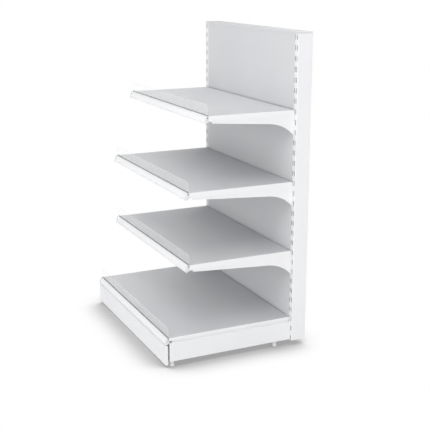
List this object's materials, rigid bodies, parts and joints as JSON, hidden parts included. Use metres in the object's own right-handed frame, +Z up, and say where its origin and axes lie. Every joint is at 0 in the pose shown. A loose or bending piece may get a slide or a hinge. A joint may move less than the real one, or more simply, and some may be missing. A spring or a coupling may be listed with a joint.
{
  "type": "wall gondola shelving",
  "caption": "Single-sided shop shelving bay: slotted uprights, back panels, hook-in shelves with price strips and clear risers, base deck, plinth and levelling feet.",
  "frame": {"origin": "on the floor, in the middle of the bay's length and depth", "axes": "+X along the bay, +Y towards the wall, +Z up"},
  "size_m": [1.03, 0.7612, 1.567],
  "materials": {
    "white_steel": "satin white powder coat",
    "white_strip": "smooth extruded white plastic",
    "clear_sheet": "clear glossy plastic sheet",
    "grey_cap": "moulded light grey plastic",
    "white_foot": "moulded white plastic",
    "zinc_steel": "zinc plated"
  },
  "bodies": {
    "frame": {"leg_nuts": "zinc_steel", "crossbar_bolts": "zinc_steel", "top_cover": "white_steel", "cover_saddles": "white_foot", "upright_right": "white_steel", "upright_cap_right": "grey_cap", "base_leg_right": "white_steel", "upright_left": "white_steel", "upright_cap_left": "grey_cap", "base_leg_left": "white_steel", "crossbar_1": "white_steel", "crossbar_2": "white_steel", "crossbar_3": "white_steel", "crossbar_4": "white_steel", "crossbar_5": "white_steel", "back_panel_1": "white_steel", "back_panel_2": "white_steel", "back_panel_3": "white_steel", "back_panel_4": "white_steel"},
    "plinth_panel": {"plinth": "white_steel", "plinth_clips": "zinc_steel"},
    "deck_unit": {"deck": "white_steel", "deck_price_strip": "white_strip", "deck_strip_end_caps": "white_strip", "deck_stiffeners": "white_steel"},
    "deck_riser_sheet": {"deck_riser": "clear_sheet"},
    "lower_bracket_pair": {"lower_bracket_right": "white_steel", "lower_bracket_left": "white_steel"},
    "lower_shelf_unit": {"lower_shelf": "white_steel", "lower_shelf_price_strip": "white_strip", "lower_shelf_strip_end_caps": "white_strip", "lower_shelf_stiffeners": "white_steel"},
    "lower_riser_sheet": {"lower_shelf_riser": "clear_sheet"},
    "middle_bracket_pair": {"middle_bracket_right": "white_steel", "middle_bracket_left": "white_steel"},
    "middle_shelf_unit": {"middle_shelf": "white_steel", "middle_shelf_price_strip": "white_strip", "middle_shelf_strip_end_caps": "white_strip", "middle_shelf_stiffeners": "white_steel"},
    "middle_riser_sheet": {"middle_shelf_riser": "clear_sheet"},
    "top_bracket_pair": {"top_bracket_right": "white_steel", "top_bracket_left": "white_steel"},
    "top_shelf_unit": {"top_shelf": "white_steel", "top_shelf_price_strip": "white_strip", "top_shelf_strip_end_caps": "white_strip", "top_shelf_stiffeners": "white_steel"},
    "top_riser_sheet": {"top_shelf_riser": "clear_sheet"},
    "front_right_foot_pad": {"foot_pad_front_right": "white_foot"},
    "front_right_foot_stem": {"foot_stem_front_right": "zinc_steel"},
    "front_left_foot_pad": {"foot_pad_front_left": "white_foot"},
    "front_left_foot_stem": {"foot_stem_front_left": "zinc_steel"},
    "rear_right_foot_pad": {"foot_pad_rear_right": "white_foot"},
    "rear_right_foot_stem": {"foot_stem_rear_right": "zinc_steel"},
    "rear_left_foot_pad": {"foot_pad_rear_left": "white_foot"},
    "rear_left_foot_stem": {"foot_stem_rear_left": "zinc_steel"}
  },
  "joints": [
    {"name": "plinth_pull", "type": "slide", "parent": "frame", "child": "plinth_panel", "axis": [0, -1, 0], "range_m": [0, 0.06]},
    {"name": "deck_lift", "type": "slide", "parent": "frame", "child": "deck_unit", "axis": [0, 0, 1], "range_m": [0, 0.15]},
    {"name": "deck_riser_pull", "type": "slide", "parent": "deck_unit", "child": "deck_riser_sheet", "axis": [0, 0, 1], "range_m": [0, 0.06]},
    {"name": "lower_brackets_unhook", "type": "slide", "parent": "frame", "child": "lower_bracket_pair", "axis": [0, 0, 1], "range_m": [0, 0.011]},
    {"name": "lower_shelf_lift", "type": "slide", "parent": "lower_bracket_pair", "child": "lower_shelf_unit", "axis": [0, 0, 1], "range_m": [0, 0.12]},
    {"name": "lower_riser_pull", "type": "slide", "parent": "lower_shelf_unit", "child": "lower_riser_sheet", "axis": [0, 0, 1], "range_m": [0, 0.06]},
    {"name": "middle_brackets_unhook", "type": "slide", "parent": "frame", "child": "middle_bracket_pair", "axis": [0, 0, 1], "range_m": [0, 0.011]},
    {"name": "middle_shelf_lift", "type": "slide", "parent": "middle_bracket_pair", "child": "middle_shelf_unit", "axis": [0, 0, 1], "range_m": [0, 0.12]},
    {"name": "middle_riser_pull", "type": "slide", "parent": "middle_shelf_unit", "child": "middle_riser_sheet", "axis": [0, 0, 1], "range_m": [0, 0.06]},
    {"name": "top_brackets_unhook", "type": "slide", "parent": "frame", "child": "top_bracket_pair", "axis": [0, 0, 1], "range_m": [0, 0.011]},
    {"name": "top_shelf_lift", "type": "slide", "parent": "top_bracket_pair", "child": "top_shelf_unit", "axis": [0, 0, 1], "range_m": [0, 0.12]},
    {"name": "top_riser_pull", "type": "slide", "parent": "top_shelf_unit", "child": "top_riser_sheet", "axis": [0, 0, 1], "range_m": [0, 0.06]},
    {"name": "front_right_foot_drop", "type": "slide", "parent": "frame", "child": "front_right_foot_pad", "axis": [0, 0, -1], "range_m": [0, 0.021]},
    {"name": "front_right_foot_turn", "type": "hinge", "parent": "front_right_foot_pad", "child": "front_right_foot_stem", "pos_m": [0.47585, -0.33939, 0.03], "axis": [0, 0, -1], "range_deg": [0, 5040.5]},
    {"name": "front_left_foot_drop", "type": "slide", "parent": "frame", "child": "front_left_foot_pad", "axis": [0, 0, -1], "range_m": [0, 0.021]},
    {"name": "front_left_foot_turn", "type": "hinge", "parent": "front_left_foot_pad", "child": "front_left_foot_stem", "pos_m": [-0.47585, -0.33939, 0.03], "axis": [0, 0, -1], "range_deg": [0, 5040.5]},
    {"name": "rear_right_foot_drop", "type": "slide", "parent": "frame", "child": "rear_right_foot_pad", "axis": [0, 0, -1], "range_m": [0, 0.021]},
    {"name": "rear_right_foot_turn", "type": "hinge", "parent": "rear_right_foot_pad", "child": "rear_right_foot_stem", "pos_m": [0.47585, 0.22261, 0.03], "axis": [0, 0, -1], "range_deg": [0, 5040.5]},
    {"name": "rear_left_foot_drop", "type": "slide", "parent": "frame", "child": "rear_left_foot_pad", "axis": [0, 0, -1], "range_m": [0, 0.021]},
    {"name": "rear_left_foot_turn", "type": "hinge", "parent": "rear_left_foot_pad", "child": "rear_left_foot_stem", "pos_m": [-0.47585, 0.22261, 0.03], "axis": [0, 0, -1], "range_deg": [0, 5040.5]}
  ],
  "couplings": [
    {"joint": "front_right_foot_turn", "follows": "front_right_foot_drop", "rad_per_m": 4188.8},
    {"joint": "front_left_foot_turn", "follows": "front_left_foot_drop", "rad_per_m": 4188.8},
    {"joint": "rear_right_foot_turn", "follows": "rear_right_foot_drop", "rad_per_m": 4188.8},
    {"joint": "rear_left_foot_turn", "follows": "rear_left_foot_drop", "rad_per_m": 4188.8}
  ]
}
